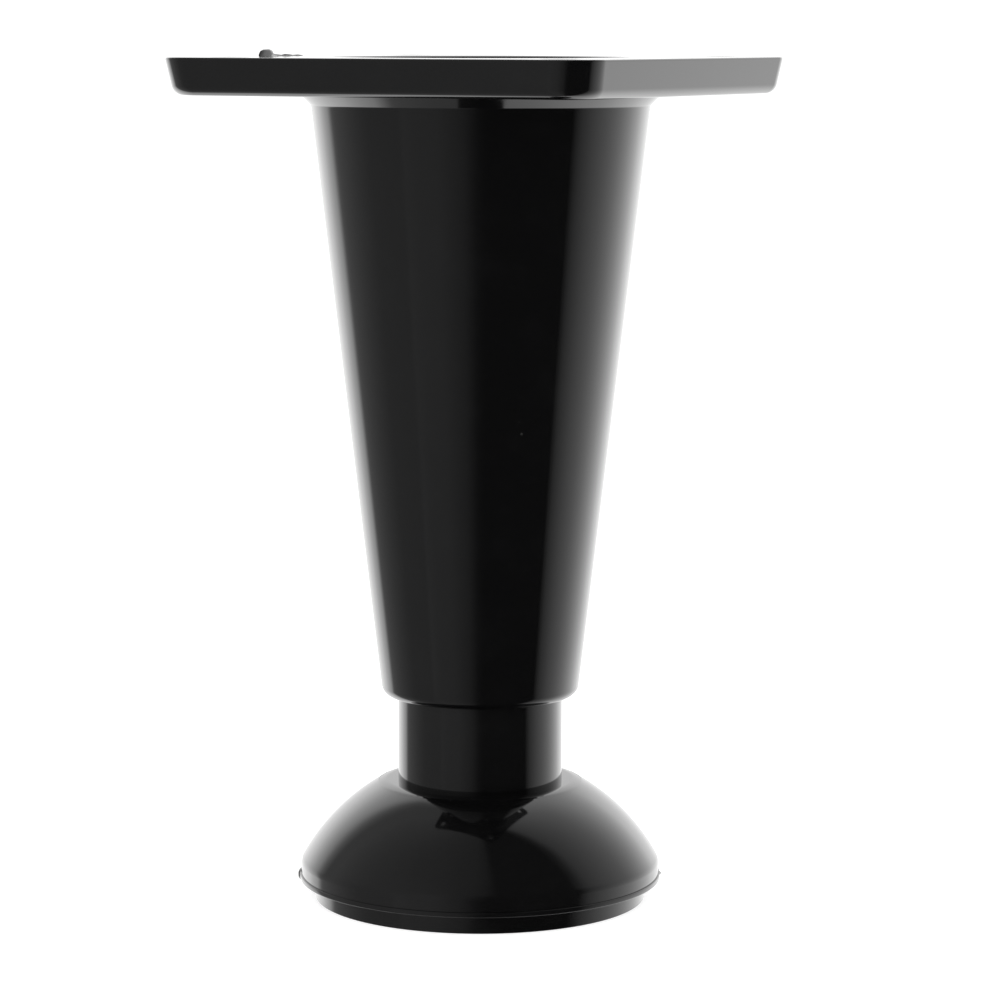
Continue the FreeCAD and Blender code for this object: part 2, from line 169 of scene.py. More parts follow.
# %% [markdown]
# ## Adding to a moulding
#
# Ribs and flash are one with the moulding that carries them. They could stand as loose shells
# inside it, but a union gives one clean skin. A union leaves long flat faces beside small ones,
# so the normals are then weighted by area, which keeps a flat face a flat mirror.

# %% Joining, uniting and weighting
def join(target, others):
    """Join other pieces into the target piece."""
    clear_selection()
    for piece in others:
        piece.select_set(True)
    target.select_set(True)
    bpy.context.view_layer.objects.active = target
    bpy.ops.object.join()


def apply_to(piece, modifier):
    """Apply a modifier that a piece has just been given."""
    clear_selection()
    bpy.context.view_layer.objects.active = piece
    piece.select_set(True)
    bpy.ops.object.modifier_apply(modifier=modifier.name)


def unite(piece, extra):
    """Merge another closed form into a piece, as one moulding."""
    merge = piece.modifiers.new("merge", "BOOLEAN")
    merge.operation = "UNION"
    merge.solver = "EXACT"
    merge.object = extra
    apply_to(piece, merge)
    bpy.data.objects.remove(extra)


def keep_flats_flat(piece):
    """Weight the normals by area, so that a flat face beside a rounding stays a flat mirror."""
    weights = piece.modifiers.new("flats", "WEIGHTED_NORMAL")
    weights.keep_sharp = True
    weights.weight = 100
    apply_to(piece, weights)
    print(f"{piece.name}: {len(piece.data.vertices)} points, {len(piece.data.polygons)} faces")


# %% Ribs
def near(point, across, level):
    """Whether a point lies at a distance across and a level."""
    return abs(point.co.x - across * MM) < CLOSE and abs(point.co.z - level * MM) < CLOSE


def rib(thickness, low_corners, high_corners, turn_degrees):
    """An upright web from its inner to its outer corners, each a distance out and a level."""
    (inner, foot), (outer_low, _) = low_corners
    (_, top), (outer_high, top_outer) = high_corners
    clear_selection()
    middle = ((inner + outer_high) / 2 * MM, 0, (foot + top) / 2 * MM)
    bpy.ops.mesh.primitive_cube_add(size=1, location=middle)
    piece = bpy.context.object
    piece.scale = ((outer_high - inner) * MM, thickness * MM, (top - foot) * MM)
    bpy.ops.object.transform_apply(location=True, rotation=False, scale=True)
    bpy.ops.object.mode_set(mode="EDIT")
    bpy.ops.mesh.select_mode(type="EDGE")
    select_edges(piece, lambda edge: all(near(point, outer_high, foot) for point in edge.verts))
    bpy.ops.transform.translate(value=((outer_low - outer_high) * MM, 0, 0))
    select_edges(piece, lambda edge: all(near(point, outer_high, top) for point in edge.verts))
    bpy.ops.transform.translate(value=(0, 0, (top_outer - top) * MM))
    bpy.ops.object.mode_set(mode="OBJECT")
    piece.rotation_euler.z = math.radians(turn_degrees)
    bpy.ops.object.transform_apply(location=False, rotation=True, scale=False)
    return piece


def add_ribs(piece, count, thickness, low_corners, high_corners):
    """Like ribs all round the axis, made one with the moulding."""
    ribs = [
        rib(thickness, low_corners, high_corners, 360 / count * number) for number in range(count)
    ]
    join(ribs[0], ribs[1:])
    unite(piece, ribs[0])
    print(f"{piece.name}: {count} ribs, {thickness} mm thick")


# %% Tongues of flash
def flash(place, turn_degrees, stations):
    """A thin tongue of flash, an oval ring grown along its length.

    Each station gives how far along it lies, how far it leans out, its half thickness and its
    half height. The tongue starts at the place, and the turn is the way that it runs.
    """
    clear_selection()
    bpy.ops.mesh.primitive_circle_add(vertices=16, radius=MM, rotation=(0, math.pi / 2, 0))
    piece = bpy.context.object
    bpy.ops.object.transform_apply(location=False, rotation=True, scale=False)
    bpy.ops.object.mode_set(mode="EDIT")
    bpy.ops.mesh.select_mode(type="EDGE")
    bpy.ops.mesh.select_all(action="SELECT")
    along, out, thick, high = stations[0]
    bpy.ops.transform.resize(value=(1, thick, high), center_override=(0, 0, 0))
    bpy.ops.transform.translate(value=(along * MM, out * MM, 0))
    bpy.ops.mesh.edge_face_add()
    for (along, out, thick, high), (then_along, then_out, then_thick, then_high) in zip(
        stations, stations[1:]
    ):
        move = ((then_along - along) * MM, (then_out - out) * MM, 0)
        bpy.ops.mesh.extrude_edges_move(TRANSFORM_OT_translate={"value": move})
        bpy.ops.transform.resize(
            value=(1, then_thick / thick, then_high / high),
            center_override=(then_along * MM, then_out * MM, 0),
        )
    bpy.ops.mesh.edge_face_add()
    close_piece(piece, smooth_degrees=60)
    piece.rotation_euler.z = math.radians(turn_degrees)
    piece.location = Vector(place) * MM
    bpy.ops.object.transform_apply(location=True, rotation=True, scale=False)
    return piece


# %% [markdown]
# ## The leg moulding
#
# Plate and tapered body come out of one mould, so they are one mesh. The round part is grown as a
# ring from the plate's underside, down the short slant of the flare and the long taper, round the
# lower end, up inside through the guide bore, the threaded sleeve and the cavity, and out over the
# mouth. Its first and last ring are wide enough to lie under the plate. The plate's rim starts as a
# cube. Its upright corners are bevelled, its lower face is drawn in by the mould's draft, and its
# lower edge is rounded. The two flat faces are then filled between rim, round part and holes.

# %% Sizes of the leg moulding
PLATE_THICKNESS = 4.6
UNDERSIDE = PLATE_TOP - PLATE_THICKNESS
RIM_DRAFT = 10
PLATE_CORNER = 4.9
CORNER_STEPS = 14
RIM_ROUNDING = 1.4
RIM_STEPS = 9
TOP_EDGE = 0.3
TOP_EDGE_STEPS = 4
HOLE_INSET = 7.1
HOLE_PLACE = PLATE_HALF - HOLE_INSET
HOLE_RADIUS = 2.25
HOLE_EDGE = 0.25
NECK_RADIUS = 21.3
FLARE_WIDTH = 1.2
FLARE_HEIGHT = 1.35
FLARE_EDGE = 0.25
MOUTH_WALL = 2.7
MOUTH_RADIUS = NECK_RADIUS - MOUTH_WALL
MOUTH_EDGE = 0.5
JOIN_RADIUS = NECK_RADIUS + 3 * FLARE_WIDTH
END_RADIUS = 12.36
END_ROUNDING = 1.1
GUIDE_RADIUS = 10.46
LEAD_IN = 0.4
GUIDE_TOP = BODY_END + 21
THREAD_BORE = 8.76
CAVITY_FLOOR = GUIDE_TOP + 2.5
SLEEVE_TOP = CAVITY_FLOOR + 20
SLEEVE_RADIUS = THREAD_BORE + 2.2
SLEEVE_EDGE = 0.4
SHELL_WALL = 2.4


def taper_radius(level):
    """Outer radius of the tapered body at a level."""
    share = (level - BODY_END) / (UNDERSIDE - BODY_END)
    return END_RADIUS + (NECK_RADIUS - END_RADIUS) * share


CAVITY_RADIUS = taper_radius(CAVITY_FLOOR) - SHELL_WALL
TAPER_ANGLE = math.degrees(math.atan((NECK_RADIUS - END_RADIUS) / (UNDERSIDE - BODY_END)))
print(f"taper {TAPER_ANGLE:.1f} degrees a side, cavity {2 * CAVITY_RADIUS:.1f} mm at its floor")


# %% The round part of the leg moulding
def round_body():
    """Outside, end, bores, sleeve and cavity as one surface, open at the plate's two faces."""
    flare_top = (NECK_RADIUS + FLARE_WIDTH, UNDERSIDE)
    flare_foot = (taper_radius(UNDERSIDE - FLARE_HEIGHT), UNDERSIDE - FLARE_HEIGHT)
    flare_angle = math.degrees(math.atan2(flare_top[0] - flare_foot[0], FLARE_HEIGHT))
    stations = [
        (JOIN_RADIUS, UNDERSIDE),
        flare_top,
        flare_foot,
        (END_RADIUS, BODY_END),
        (GUIDE_RADIUS + LEAD_IN, BODY_END),
        (GUIDE_RADIUS, BODY_END + LEAD_IN),
        (GUIDE_RADIUS, GUIDE_TOP),
        (THREAD_BORE, GUIDE_TOP),
        (THREAD_BORE, SLEEVE_TOP),
        (SLEEVE_RADIUS, SLEEVE_TOP),
        (SLEEVE_RADIUS, CAVITY_FLOOR),
        (CAVITY_RADIUS, CAVITY_FLOOR),
        (MOUTH_RADIUS, PLATE_TOP),
        (JOIN_RADIUS, PLATE_TOP),
    ]
    piece = start_ring("leg_moulding_shell", *stations[0])
    grow(stations)
    round_ring(piece, *flare_top, FLARE_EDGE, 90 - flare_angle, steps=4)
    round_ring(piece, *flare_foot, FLARE_EDGE, flare_angle - TAPER_ANGLE, steps=4)
    round_ring(piece, END_RADIUS, BODY_END, END_ROUNDING, 90 + TAPER_ANGLE, steps=10)
    round_ring(piece, MOUTH_RADIUS, PLATE_TOP, MOUTH_EDGE, 90 + TAPER_ANGLE, steps=6)
    round_ring(piece, SLEEVE_RADIUS, SLEEVE_TOP, SLEEVE_EDGE, steps=4)
    bpy.ops.object.mode_set(mode="OBJECT")
    return piece


leg = round_body()


# %% The plate's rim
def upright(edge):
    """The upright edges of the cube."""
    first, second = edge.verts
    return (first.co - second.co).xy.length < CLOSE


def at_level(level):
    """A test for edges that lie at a level."""

    def chosen(edge):
        return all(abs(point.co.z - level * MM) < CLOSE for point in edge.verts)

    return chosen


def bevel_edges(piece, chosen, reach, steps):
    """Bevel the chosen edges with a round profile."""
    select_edges(piece, chosen)
    bpy.ops.mesh.bevel(offset=reach * MM, segments=steps, profile=0.5, affect="EDGES")


def plate_rim():
    """The plate's side faces with their roundings, open above and below."""
    clear_selection()
    middle = (UNDERSIDE + PLATE_TOP) / 2 * MM
    bpy.ops.mesh.primitive_cube_add(size=1, location=(0, 0, middle))
    rim = bpy.context.object
    rim.scale = (2 * PLATE_HALF * MM, 2 * PLATE_HALF * MM, PLATE_THICKNESS * MM)
    bpy.ops.object.transform_apply(location=True, rotation=False, scale=True)
    bpy.ops.object.mode_set(mode="EDIT")
    bpy.ops.mesh.select_mode(type="EDGE")
    bevel_edges(rim, upright, PLATE_CORNER, CORNER_STEPS)
    select_edges(rim, at_level(UNDERSIDE))
    drawn_in = PLATE_THICKNESS * math.tan(math.radians(RIM_DRAFT))
    ratio = 1 - drawn_in / PLATE_HALF
    bpy.ops.transform.resize(value=(ratio, ratio, 1), center_override=(0, 0, 0))
    under_reach = RIM_ROUNDING * math.tan(math.radians((90 - RIM_DRAFT) / 2))
    bevel_edges(rim, at_level(UNDERSIDE), under_reach, RIM_STEPS)
    bevel_edges(rim, at_level(PLATE_TOP), TOP_EDGE, TOP_EDGE_STEPS)
    mesh = bmesh.from_edit_mesh(rim.data)
    bpy.ops.mesh.select_mode(type="FACE")
    bpy.ops.mesh.select_all(action="DESELECT")
    lids = [face for face in mesh.faces if len(face.verts) > 4]
    for face in lids:
        face.select_set(True)
    bmesh.update_edit_mesh(rim.data)
    bpy.ops.mesh.delete(type="ONLY_FACE")
    bpy.ops.object.mode_set(mode="OBJECT")
    print(f"plate rim: {len(rim.data.polygons)} faces, {len(lids)} lids taken off")
    return rim


rim = plate_rim()


# %% Screw holes
def screw_hole(across, along):
    """The wall of one hole through the plate, a little wider at both faces."""
    centre = (across, along)
    stations = [
        (HOLE_RADIUS + HOLE_EDGE, PLATE_TOP),
        (HOLE_RADIUS, PLATE_TOP - HOLE_EDGE),
        (HOLE_RADIUS, UNDERSIDE + HOLE_EDGE),
        (HOLE_RADIUS + HOLE_EDGE, UNDERSIDE),
    ]
    hole = start_ring("screw_hole", *stations[0], around=64, centre=centre)
    grow(stations, centre)
    bpy.ops.object.mode_set(mode="OBJECT")
    return hole


holes = [screw_hole(x, y) for x in (-HOLE_PLACE, HOLE_PLACE) for y in (-HOLE_PLACE, HOLE_PLACE)]
print(f"{len(holes)} holes of {2 * HOLE_RADIUS} mm, {2 * HOLE_PLACE:.1f} mm apart")


# %% Joining the leg moulding and filling its flat faces
def fill_face(piece, level):
    """Fill the flat face at a level between all the open edges that lie there."""
    lies_there = at_level(level)
    found = select_edges(piece, lambda edge: edge.is_boundary and lies_there(edge))
    bpy.ops.mesh.fill(use_beauty=True)
    return found


join(leg, [rim, *holes])
bpy.ops.object.mode_set(mode="EDIT")
bpy.ops.mesh.select_mode(type="EDGE")
print("open edges filled:", fill_face(leg, PLATE_TOP), fill_face(leg, UNDERSIDE))
close_piece(leg)

# %% [markdown]
# ## Ribs in the leg and flash on its plate
#
# Four webs tie the threaded sleeve to the tapered wall. They stop in the middle of each wall, as
# their solids do, so that nothing pokes through. A nib of flash with a low tail was left standing
# on the plate's edge where the mould's halves met, and it is modelled because light catches it.

# %% Ribs and nib of the leg
RIB_COUNT = 4
RIB_THICKNESS = 1.6
RIB_INNER = SLEEVE_RADIUS - 1.1
RIB_FOOT = CAVITY_FLOOR - 1
RIB_TOP = SLEEVE_TOP - 2
RIB_OUTER_TOP = RIB_TOP - 7


def wall_middle(level):
    """Radius of the middle of the tapered wall at a level."""
    return taper_radius(level) - SHELL_WALL / 2


add_ribs(
    leg,
    RIB_COUNT,
    RIB_THICKNESS,
    ((RIB_INNER, RIB_FOOT), (wall_middle(RIB_FOOT), RIB_FOOT)),
    ((RIB_INNER, RIB_TOP), (wall_middle(RIB_OUTER_TOP), RIB_OUTER_TOP)),
)

NIB_PLACE = (-PLATE_HALF + 0.35, -4.9, PLATE_TOP)
NIB_STATIONS = (
    (0, 0, 0.08, 0.3),
    (0.3, 0, 0.16, 0.62),
    (1, 0, 0.2, 0.8),
    (2.4, 0, 0.2, 0.84),
    (3.1, 0, 0.18, 0.7),
    (3.4, 0, 0.12, 0.3),
    (4.6, 0, 0.1, 0.18),
    (5.4, 0, 0.07, 0.12),
    (6.2, 0, 0.12, 0.24),
    (7.2, 0, 0.1, 0.2),
    (8.2, 0, 0.06, 0.1),
    (9.4, 0, 0.08, 0.15),
    (10.6, 0, 0.05, 0.06),
)
unite(leg, flash(NIB_PLACE, 90, NIB_STATIONS))
keep_flats_flat(leg)
print(f"nib: {NIB_STATIONS[-1][0]} mm long with its tail")

# %% [markdown]
# ## The foot
#
# Spindle, collar, dome and lip are one moulding. The dome is a cap of a sphere whose centre lies
# on the axis, so its stations come from that circle. A small flat runs round the collar where it
# rises out of the dome, and the lip at the widest edge is where the two halves of the mould meet.

# %% Sizes of the foot
COLLAR_RADIUS = 10.4
COLLAR_TOP = BODY_END + 11
COLLAR_EDGE = 0.8
COLLAR_WALL = 2.8
LAND_LEVEL = FOOT_FLOOR + 12.65
LAND_RADIUS = COLLAR_RADIUS + 2
LAND_ROUNDING = 3
LAND_TURN = 29
BAND_RADIUS = LIP_RADIUS - 0.2
BAND_TOP = FOOT_FLOOR + 2.35
BAND_ROUNDING = 1.5
BAND_TURN = 28
LIP_TOP = FOOT_FLOOR + 0.6
LIP_TOP_ROUNDING = 0.1
LIP_FOOT_ROUNDING = 0.08
DOME_WALL = 2.4
SKIRT_RADIUS = BAND_RADIUS - DOME_WALL
HOLLOW_TOP = LAND_LEVEL - DOME_WALL
SPINDLE_RADIUS = 7.5
SPINDLE_EDGE = 1
CORE_RADIUS = COLLAR_RADIUS - COLLAR_WALL
CORE_TOP = COLLAR_TOP - 3
INNER_CORE_RADIUS = 4.2
INNER_CORE_TOP = SPINDLE_TOP - 3
SNAP_LOW = FOOT_FLOOR + 4
SNAP_HEIGHT = 1.6
SNAP_DEPTH = 0.3
DOME_STEPS = 28


def dome_arc(start, end, count):
    """Stations between two stations, along the circle round a centre on the axis."""
    (start_radius, start_level), (end_radius, end_level) = start, end
    start_square = start_radius**2 + start_level**2
    end_square = end_radius**2 + end_level**2
    centre = (end_square - start_square) / (2 * (end_level - start_level))
    size = math.hypot(start_radius, start_level - centre)
    first = math.atan2(start_radius, start_level - centre)
    last = math.atan2(end_radius, end_level - centre)
    angles = [first + (last - first) * step / count for step in range(1, count)]
    print(f"dome: sphere of {size:.2f} mm round {centre:.2f} mm, "
          f"from {math.degrees(first):.0f} to {math.degrees(last):.0f} degrees")
    return [(size * math.sin(angle), centre + size * math.cos(angle)) for angle in angles]


# %% Growing the foot
def domed_foot():
    """The whole foot as one closed surface, from the spindle's top to the core inside it."""
    land = (LAND_RADIUS, LAND_LEVEL)
    band = (BAND_RADIUS, BAND_TOP)
    stations = [
        (SPINDLE_RADIUS - SPINDLE_EDGE, SPINDLE_TOP),
        (SPINDLE_RADIUS, SPINDLE_TOP - SPINDLE_EDGE),
        (SPINDLE_RADIUS, COLLAR_TOP),
        (COLLAR_RADIUS - COLLAR_EDGE, COLLAR_TOP),
        (COLLAR_RADIUS, COLLAR_TOP - COLLAR_EDGE),
        (COLLAR_RADIUS, LAND_LEVEL),
        land,
        *dome_arc(land, band, DOME_STEPS),
        band,
        (BAND_RADIUS, LIP_TOP),
        (LIP_RADIUS, LIP_TOP),
        (LIP_RADIUS, FOOT_FLOOR),
        (SKIRT_RADIUS, FOOT_FLOOR),
        (SKIRT_RADIUS, BAND_TOP),
        (COLLAR_RADIUS, HOLLOW_TOP),
        (COLLAR_RADIUS, FOOT_FLOOR),
        (CORE_RADIUS, FOOT_FLOOR),
        (CORE_RADIUS, SNAP_LOW),
        (CORE_RADIUS + SNAP_DEPTH, SNAP_LOW + SNAP_HEIGHT / 2),
        (CORE_RADIUS, SNAP_LOW + SNAP_HEIGHT),
        (CORE_RADIUS, CORE_TOP),
        (INNER_CORE_RADIUS, CORE_TOP),
        (INNER_CORE_RADIUS, INNER_CORE_TOP),
    ]
    piece = start_ring("domed_foot", *stations[0])
    bpy.ops.mesh.edge_face_add()
    grow(stations)
    bpy.ops.mesh.edge_face_add()
    round_ring(piece, LAND_RADIUS, LAND_LEVEL, LAND_ROUNDING, LAND_TURN, steps=6)
    round_ring(piece, BAND_RADIUS, BAND_TOP, BAND_ROUNDING, BAND_TURN, steps=6)
    round_ring(piece, LIP_RADIUS, LIP_TOP, LIP_TOP_ROUNDING, steps=3)
    round_ring(piece, LIP_RADIUS, FOOT_FLOOR, LIP_FOOT_ROUNDING, steps=4)
    close_piece(piece)
    return piece


foot = domed_foot()

# %% [markdown]
# ## Ribs under the dome, and burrs on its lip
#
# Six webs stiffen the hollow dome. Their feet stay a hair above the rim's face, because a union
# leaves torn edges where two faces lie in one plane. Where the mould's halves met, two burrs were
# left on the lip. Each is a short tongue of flash, sunk a little into the lip so that it holds.

# %% Ribs and burrs of the foot
DOME_RIB_COUNT = 6
DOME_RIB_THICKNESS = 1.4
DOME_RIB_INNER = COLLAR_RADIUS - COLLAR_WALL / 2
DOME_RIB_OUTER = SKIRT_RADIUS + DOME_WALL / 2
DOME_RIB_FOOT = FOOT_FLOOR + 0.05
BURR_SUNK = 0.1
BURRS = (
    (208, FOOT_FLOOR + 0.1, 1.2, 0.4, 0.7),
    (28, FOOT_FLOOR + 0.3, 0.4, 0.25, 0.25),
)

add_ribs(
    foot,
    DOME_RIB_COUNT,
    DOME_RIB_THICKNESS,
    ((DOME_RIB_INNER, DOME_RIB_FOOT), (DOME_RIB_OUTER, DOME_RIB_FOOT)),
    ((DOME_RIB_INNER, LAND_LEVEL - DOME_WALL / 2), (DOME_RIB_OUTER, BAND_TOP)),
)


def lip_burr(degrees, level, half_length, proud, half_height):
    """A burr on the lip's edge, at an angle round the axis and a level."""
    angle = math.radians(degrees)
    out = LIP_RADIUS - BURR_SUNK
    place = (out * math.cos(angle), out * math.sin(angle), level)
    stations = (
        (-half_length, 0, proud / 2, half_height / 2),
        (-half_length / 2, 0, proud, half_height),
        (half_length / 2, 0, proud, half_height * 0.9),
        (half_length, 0, proud / 2, half_height / 3),
    )
    return flash(place, degrees + 90, stations)


for burr in BURRS:
    unite(foot, lip_burr(*burr))
keep_flats_flat(foot)

# %% [markdown]
# ## The two threads
#
# The spindle's thread is a coarse right-hand ridge with four millimetres from turn to turn, and
# the sleeve has its partner inside, half a turn's rise away. Each could be drawn as one long
# spiral tube. A small outline carried round and up by the Screw modifier is simpler, and its
# pitch is one number. The outline's inner and outer widths give the slanting flanks.

# %% Threads
PITCH = 4
THREAD_CREST = 8.66
THREAD_LOW = COLLAR_TOP + 1.6
THREAD_TURNS = 8
CREST_WIDTH = 0.9
ROOT_WIDTH = 2.2
SLEEVE_CREST = 7.75
SLEEVE_THREAD_LOW = THREAD_LOW + 2.5 * PITCH
SLEEVE_THREAD_TURNS = 5
SLEEVE_ROOT_WIDTH = 1.6
THREAD_STEPS = 96


def thread(name, inner, outer, inner_width, outer_width, low, turns):
    """A ridge with slanting flanks that winds up from a level, between two radii."""
    clear_selection()
    bpy.ops.mesh.primitive_plane_add(size=1, location=(0, 0, 0))
    piece = bpy.context.object
    piece.name = name
    piece.data.name = name
    bpy.ops.object.mode_set(mode="EDIT")
    mesh = bmesh.from_edit_mesh(piece.data)
    for point in mesh.verts:
        outside = point.co.x > 0
        half_width = (outer_width if outside else inner_width) / 2
        radius = outer if outside else inner
        rise = half_width if point.co.y > 0 else -half_width
        point.co = Vector((radius, 0, low + rise)) * MM
    bmesh.update_edit_mesh(piece.data)
    bpy.ops.object.mode_set(mode="OBJECT")
    winding = piece.modifiers.new("winding", "SCREW")
    winding.axis = "Z"
    winding.screw_offset = PITCH * MM
    winding.iterations = turns
    winding.steps = THREAD_STEPS
    winding.render_steps = THREAD_STEPS
    winding.use_merge_vertices = False
    apply_to(piece, winding)
    bpy.ops.object.mode_set(mode="EDIT")
    bpy.ops.mesh.select_mode(type="EDGE")
    ends = select_edges(piece, lambda edge: edge.is_boundary)
    if ends:
        bpy.ops.mesh.fill(use_beauty=True)
    close_piece(piece, smooth_degrees=25)
    heights = [point.co.z / MM for point in piece.data.vertices]
    print(f"{name}: from {min(heights):.1f} to {max(heights):.1f} mm, {ends} open edges closed")
    return piece


spindle_thread = thread(
    "spindle_thread",
    SPINDLE_RADIUS - 0.15,
    THREAD_CREST,
    ROOT_WIDTH,
    CREST_WIDTH,
    THREAD_LOW,
    THREAD_TURNS,
)
sleeve_thread = thread(
    "sleeve_thread",
    SLEEVE_CREST,
    THREAD_BORE + 0.15,
    CREST_WIDTH,
    SLEEVE_ROOT_WIDTH,
    SLEEVE_THREAD_LOW,
    SLEEVE_THREAD_TURNS,
)

# %% [markdown]
# ## The glide disc
#
# The disc under the foot is plain, with a pin that snaps into the foot's collar. Only its edge
# and its underside are ever seen, so the one rounding that matters is at the floor.

# %% Glide disc
GLIDE_EDGE = 0.15
PIN_RADIUS = 7.54
PIN_WALL = 2
PIN_EDGE = 0.7


def floor_glide():
    """Disc, hollow pin and snap bead as one closed surface."""
    stations = [
        (GLIDE_RADIUS, 0),
        (GLIDE_RADIUS, FOOT_FLOOR),
        (PIN_RADIUS, FOOT_FLOOR),
        (PIN_RADIUS, SNAP_LOW),
        (PIN_RADIUS + SNAP_DEPTH, SNAP_LOW + SNAP_HEIGHT / 2),
        (PIN_RADIUS, SNAP_LOW + SNAP_HEIGHT),
        (PIN_RADIUS, PIN_TOP - PIN_EDGE),
        (PIN_RADIUS - PIN_EDGE, PIN_TOP),
        (PIN_RADIUS - PIN_WALL, PIN_TOP),
        (PIN_RADIUS - PIN_WALL, FOOT_FLOOR),
    ]
    piece = start_ring("floor_glide", *stations[0])
    bpy.ops.mesh.edge_face_add()
    grow(stations)
    bpy.ops.mesh.edge_face_add()
    round_ring(piece, GLIDE_RADIUS, 0, GLIDE_EDGE, steps=5)
    close_piece(piece)
    keep_flats_flat(piece)
    return piece


glide = floor_glide()

# %% [markdown]
# ## The black plastic
#
# A polished mould leaves a skin that mirrors its surroundings, with faint waves where the plastic
# flowed, a trace of handling, and a few specks of dust. One node group makes these effects from
# the place on the piece, and each moulding's material gives it its own values. The group hands
# out plain values and a height; the shader and its bump stay in the material.

# %% The moulded skin group
FLOW_SCALE = 55
GRAIN_SCALE = 1900
HANDLING_SCALE = 140
HANDLING_SPAN = (0.5, 0.75)
SPECK_SCALE = 420
SPECK_EDGE = (0.05, 0.09)
SPECK_CHANCE = (0.955, 0.97)


def add_node(tree, kind, place, **settings):
    """A node at a place in the editor, with its settings."""
    node = tree.nodes.new(kind)
    node.location = place
    for name, setting in settings.items():
        setattr(node, name, setting)
    return node


def math_node(tree, operation, place, first, second):
    """A Math node whose inputs are sockets or plain numbers."""
    node = add_node(tree, "ShaderNodeMath", place, operation=operation)
    for socket, given in zip(node.inputs, (first, second)):
        if isinstance(given, bpy.types.NodeSocket):
            tree.links.new(given, socket)
        elif given is not None:
            socket.default_value = given
    return node.outputs[0]


def map_range(tree, place, value, low, high, to_low=0, to_high=1):
    """A Map Range node, clamped, from one span to another."""
    node = add_node(tree, "ShaderNodeMapRange", place)
    for label, number in (
        ("From Min", low),
        ("From Max", high),
        ("To Min", to_low),
        ("To Max", to_high),
    ):
        node.inputs[label].default_value = number
    tree.links.new(value, node.inputs["Value"])
    return node.outputs["Result"]


def noise(tree, place, where, scale, detail, roughness=0.5):
    """A noise texture's value at a place on the piece."""
    node = add_node(tree, "ShaderNodeTexNoise", place)
    node.inputs["Scale"].default_value = scale
    node.inputs["Detail"].default_value = detail
    node.inputs["Roughness"].default_value = roughness
    tree.links.new(where, node.inputs["Vector"])
    return node.outputs["Fac"]


def moulded_skin():
    """A group that turns a place on the piece into roughness, tint, dust and height."""
    group = bpy.data.node_groups.new("Moulded skin", "ShaderNodeTree")
    sockets = group.interface
    sockets.new_socket("Place", in_out="INPUT", socket_type="NodeSocketVector")
    for name, default in (
        ("Gloss Roughness", 0.06),
        ("Handling", 0.05),
        ("Waves", 1.0),
        ("Grain", 1.0),
        ("Dust", 1.0),
    ):
        socket = sockets.new_socket(name, in_out="INPUT", socket_type="NodeSocketFloat")
        socket.default_value = default
    for name in ("Roughness", "Tint", "Dust", "Height"):
        sockets.new_socket(name, in_out="OUTPUT", socket_type="NodeSocketFloat")
    enter = add_node(group, "NodeGroupInput", (-1000, 0))
    leave = add_node(group, "NodeGroupOutput", (700, 0))
    where = enter.outputs["Place"]
    flow = noise(group, (-700, 300), where, FLOW_SCALE, 1)
    grain = noise(group, (-700, 50), where, GRAIN_SCALE, 2)
    touched = noise(group, (-700, -200), where, HANDLING_SCALE, 6, 0.7)
    waves = math_node(group, "MULTIPLY", (-300, 300), flow, enter.outputs["Waves"])
    fine = math_node(group, "MULTIPLY", (-300, 50), grain, enter.outputs["Grain"])
    height = math_node(group, "ADD", (100, 200), waves, fine)
    marks = map_range(group, (-450, -200), touched, *HANDLING_SPAN)
    worn = math_node(group, "MULTIPLY", (-150, -200), marks, enter.outputs["Handling"])
    cells = add_node(group, "ShaderNodeTexVoronoi", (-700, -500))
    cells.inputs["Scale"].default_value = SPECK_SCALE
    group.links.new(where, cells.inputs["Vector"])
    spot = map_range(group, (-450, -450), cells.outputs["Distance"], *SPECK_EDGE, 1, 0)
    chance = add_node(group, "ShaderNodeSeparateColor", (-450, -700))
    group.links.new(cells.outputs["Color"], chance.inputs["Color"])
    rare = map_range(group, (-250, -700), chance.outputs["Red"], *SPECK_CHANCE)
    spots = math_node(group, "MULTIPLY", (0, -500), spot, rare)
    dust = math_node(group, "MULTIPLY", (200, -500), spots, enter.outputs["Dust"])
    rough = math_node(group, "ADD", (400, -200), enter.outputs["Gloss Roughness"], worn)
    group.links.new(height, leave.inputs["Height"])
    group.links.new(rough, leave.inputs["Roughness"])
    group.links.new(marks, leave.inputs["Tint"])
    group.links.new(dust, leave.inputs["Dust"])
    return group


skin = moulded_skin()
print("group", skin.name, "with", len(skin.nodes), "nodes")


# %% One material for each moulding
DUST_GREY = (0.05, 0.05, 0.048, 1)
PLASTIC_IOR = 1.52
WAVE_HEIGHT = 0.012


